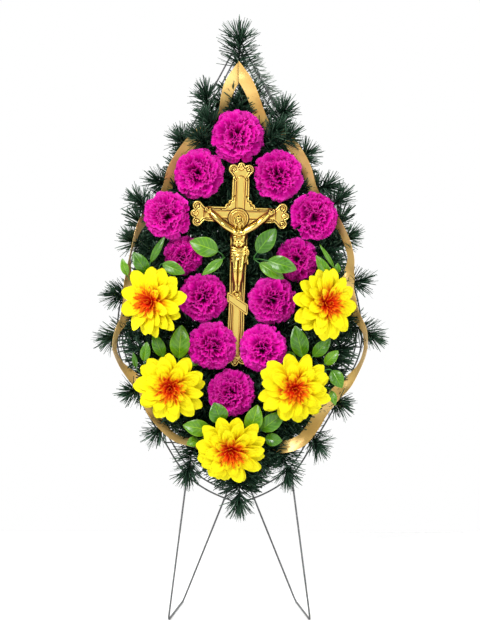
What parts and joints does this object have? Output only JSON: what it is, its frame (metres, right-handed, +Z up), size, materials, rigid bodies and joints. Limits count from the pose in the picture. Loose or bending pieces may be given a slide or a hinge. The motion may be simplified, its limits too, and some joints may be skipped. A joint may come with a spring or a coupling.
{
  "type": "funeral wreath",
  "caption": "Filled drop-shaped wreath of artificial fir, carnations and dahlias on a wire frame with wire legs, with a gilt crucifix and a gold ribbon along its outline.",
  "frame": {"origin": "on the floor, midway between the two feet", "axes": "+Z up; the flowers face -Y; +X is to the right of someone who looks at the flowers"},
  "size_m": [0.5415, 0.1984, 1.096],
  "materials": {
    "wire": "dull dark grey wire",
    "gilt": "gilt plastic with reddish brown in its recesses",
    "ribbon": "old gold satin",
    "carnation": "magenta cloth, lighter at the cut edges",
    "dahlia": "yellow cloth that turns orange and red at the heart",
    "greenery": "glossy leaf green plastic",
    "fir": "dark green plastic strips"
  },
  "bodies": {
    "root": {"wire_frame": "wire", "rear_hoop": "wire", "strut_left_upper": "wire", "strut_right_upper": "wire", "strut_left_middle": "wire", "strut_right_middle": "wire", "strut_left_lower": "wire", "strut_right_lower": "wire", "leg_left": "wire", "leg_right": "wire", "cross": "gilt", "crucified_figure": "gilt", "ribbon_left": "ribbon", "ribbon_right": "ribbon", "carnation_01": "carnation", "carnation_02": "carnation", "carnation_03": "carnation", "carnation_04": "carnation", "carnation_05": "carnation", "carnation_06": "carnation", "carnation_07": "carnation", "carnation_08": "carnation", "carnation_09": "carnation", "carnation_10": "carnation", "carnation_11": "carnation", "carnation_12": "carnation", "carnation_stem_01": "greenery", "carnation_stem_02": "greenery", "carnation_stem_03": "greenery", "carnation_stem_04": "greenery", "carnation_stem_05": "greenery", "carnation_stem_06": "greenery", "carnation_stem_07": "greenery", "carnation_stem_08": "greenery", "carnation_stem_09": "greenery", "carnation_stem_10": "greenery", "carnation_stem_11": "greenery", "carnation_stem_12": "greenery", "dahlia_1": "dahlia", "dahlia_2": "dahlia", "dahlia_3": "dahlia", "dahlia_4": "dahlia", "dahlia_5": "dahlia", "dahlia_stem_1": "greenery", "dahlia_stem_2": "greenery", "dahlia_stem_3": "greenery", "dahlia_stem_4": "greenery", "dahlia_stem_5": "greenery", "leaf_sprig_left": "greenery", "leaf_sprig_right": "greenery", "fir_twig_top": "fir", "fir_twig_left_upper": "fir", "fir_twig_left_middle": "fir", "fir_twig_left_lower": "fir", "fir_twig_right_upper": "fir", "fir_twig_right_middle": "fir", "fir_twig_right_lower": "fir", "fir_twig_bottom": "fir"}
  },
  "joints": []
}
